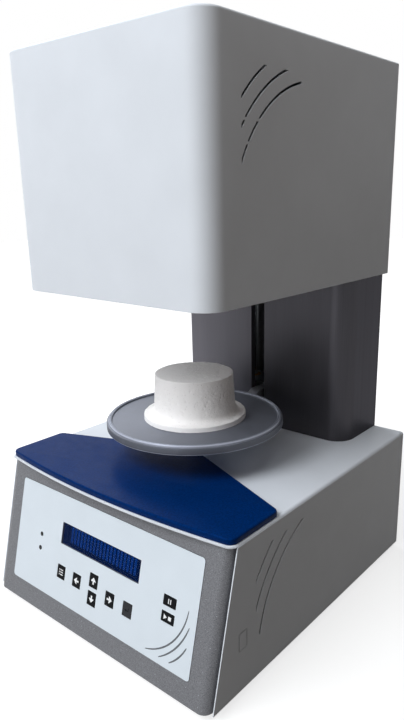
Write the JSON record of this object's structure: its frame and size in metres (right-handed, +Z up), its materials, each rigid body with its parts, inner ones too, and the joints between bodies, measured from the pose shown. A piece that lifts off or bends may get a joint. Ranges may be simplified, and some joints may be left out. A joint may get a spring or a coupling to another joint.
{
  "type": "dental lab furnace",
  "caption": "Benchtop dental firing furnace: leaning keypad panel, wide column, box hood with a chamber open below, and a round lift platform with a ceramic plug.",
  "frame": {"origin": "middle of the outline at bench level, under the feet", "axes": "+Z up, -Y towards the user, +X to the user's right"},
  "size_m": [0.38, 0.4476, 0.6735],
  "materials": {
    "housing_paint": "satin powder coat",
    "hood_paint": "satin powder coat",
    "rear_paint": "satin powder coat",
    "plated_steel": "zinc plated",
    "foot_rubber": "matte",
    "panel_moulding": "fine textured metallic grey",
    "label_film": "printed film",
    "display_cell": "blue backlit characters",
    "display_glass": "clear",
    "lamp_lens": "clear lens, unlit",
    "circuit_board": "resist",
    "key_black": "printed film",
    "blue_enamel": "enamel",
    "column_steel": "dark, brushed upright",
    "machined_aluminium": "machined",
    "bright_rod": "ground",
    "bearing_steel": "ground",
    "screw_steel": "rolled",
    "motor_black": "satin",
    "bronze": "turned",
    "platform_grey": "grey anodised",
    "plug_fibre": "rough ceramic fibre",
    "seal_silicone": "silicone",
    "casing_steel": "bare",
    "insulation_fibre": "rough ceramic fibre",
    "muffle_quartz": "smooth",
    "probe_ceramic": "smooth",
    "transformer_iron": "varnished",
    "black_plastic": "moulded",
    "connector_pins": "plated",
    "rocker_red": "moulded",
    "screw_heads": "plated"
  },
  "bodies": {
    "base": {"base_housing": "housing_paint", "base_floor": "plated_steel", "base_rear_cover": "rear_paint", "feet": "foot_rubber", "fascia": "panel_moulding", "control_label": "label_film", "display_module": "display_cell", "display_window": "display_glass", "indicator_lamps": "lamp_lens", "key_board": "circuit_board", "work_plate": "blue_enamel", "column_cover": "column_steel", "column_back": "column_steel", "mast": "plated_steel", "lower_bearing_plate": "machined_aluminium", "upper_bearing_plate": "machined_aluminium", "guide_rods": "bright_rod", "screw_bearings": "bearing_steel", "lift_motor": "motor_black", "platform_seal": "seal_silicone", "hood_shell": "hood_paint", "hood_floor": "plated_steel", "hood_rear_cover": "rear_paint", "muffle_casing": "casing_steel", "insulation_ring": "insulation_fibre", "insulation_roof": "insulation_fibre", "heating_muffle": "muffle_quartz", "thermocouple": "probe_ceramic", "control_board": "circuit_board", "transformer": "transformer_iron", "mains_inlet": "black_plastic", "inlet_pins": "connector_pins", "mains_switch": "black_plastic", "fuse_holder": "black_plastic", "vacuum_nipple": "bronze", "cover_screws": "screw_heads"},
    "lift": {"carriage": "machined_aluminium", "lift_nut": "bronze", "guide_bushes": "bronze", "lift_arm": "machined_aluminium", "platform_screws": "screw_heads", "platform": "platform_grey", "firing_plug": "plug_fibre"},
    "screw": {"lead_screw": "screw_steel", "motor_coupling": "machined_aluminium", "motor_shaft": "screw_steel"},
    "rocker": {"mains_rocker": "rocker_red"},
    "key_program_cap": {"key_program": "key_black"},
    "key_left_cap": {"key_left": "key_black"},
    "key_up_cap": {"key_up": "key_black"},
    "key_down_cap": {"key_down": "key_black"},
    "key_right_cap": {"key_right": "key_black"},
    "key_enter_cap": {"key_enter": "key_black"},
    "key_pause_cap": {"key_pause": "key_black"},
    "key_start_stop_cap": {"key_start_stop": "key_black"}
  },
  "joints": [
    {"name": "lift", "type": "slide", "parent": "base", "child": "lift", "axis": [0, 0, 1], "range_m": [0, 0.1672]},
    {"name": "screw_turn", "type": "hinge", "parent": "base", "child": "screw", "pos_m": [0, 0.16485, 0.184], "axis": [0, 0, 1], "range_deg": [-6021, 1]},
    {"name": "rocker_tip", "type": "hinge", "parent": "base", "child": "rocker", "pos_m": [0.06, 0.20785, 0.048], "axis": [1, 0, 0], "range_deg": [0, 16]},
    {"name": "key_program_press", "type": "slide", "parent": "base", "child": "key_program_cap", "axis": [0, 0.9703, -0.2419], "range_m": [0, 0.0005], "stiffness_N_per_m": 800, "springref_m": -0.0005},
    {"name": "key_left_press", "type": "slide", "parent": "base", "child": "key_left_cap", "axis": [0, 0.9703, -0.2419], "range_m": [0, 0.0005], "stiffness_N_per_m": 800, "springref_m": -0.0005},
    {"name": "key_up_press", "type": "slide", "parent": "base", "child": "key_up_cap", "axis": [0, 0.9703, -0.2419], "range_m": [0, 0.0005], "stiffness_N_per_m": 800, "springref_m": -0.0005},
    {"name": "key_down_press", "type": "slide", "parent": "base", "child": "key_down_cap", "axis": [0, 0.9703, -0.2419], "range_m": [0, 0.0005], "stiffness_N_per_m": 800, "springref_m": -0.0005},
    {"name": "key_right_press", "type": "slide", "parent": "base", "child": "key_right_cap", "axis": [0, 0.9703, -0.2419], "range_m": [0, 0.0005], "stiffness_N_per_m": 800, "springref_m": -0.0005},
    {"name": "key_enter_press", "type": "slide", "parent": "base", "child": "key_enter_cap", "axis": [0, 0.9703, -0.2419], "range_m": [0, 0.0005], "stiffness_N_per_m": 800, "springref_m": -0.0005},
    {"name": "key_pause_press", "type": "slide", "parent": "base", "child": "key_pause_cap", "axis": [0, 0.9703, -0.2419], "range_m": [0, 0.0005], "stiffness_N_per_m": 800, "springref_m": -0.0005},
    {"name": "key_start_stop_press", "type": "slide", "parent": "base", "child": "key_start_stop_cap", "axis": [0, 0.9703, -0.2419], "range_m": [0, 0.0005], "stiffness_N_per_m": 800, "springref_m": -0.0005}
  ],
  "couplings": [
    {"joint": "screw_turn", "follows": "lift", "rad_per_m": -628.32}
  ]
}
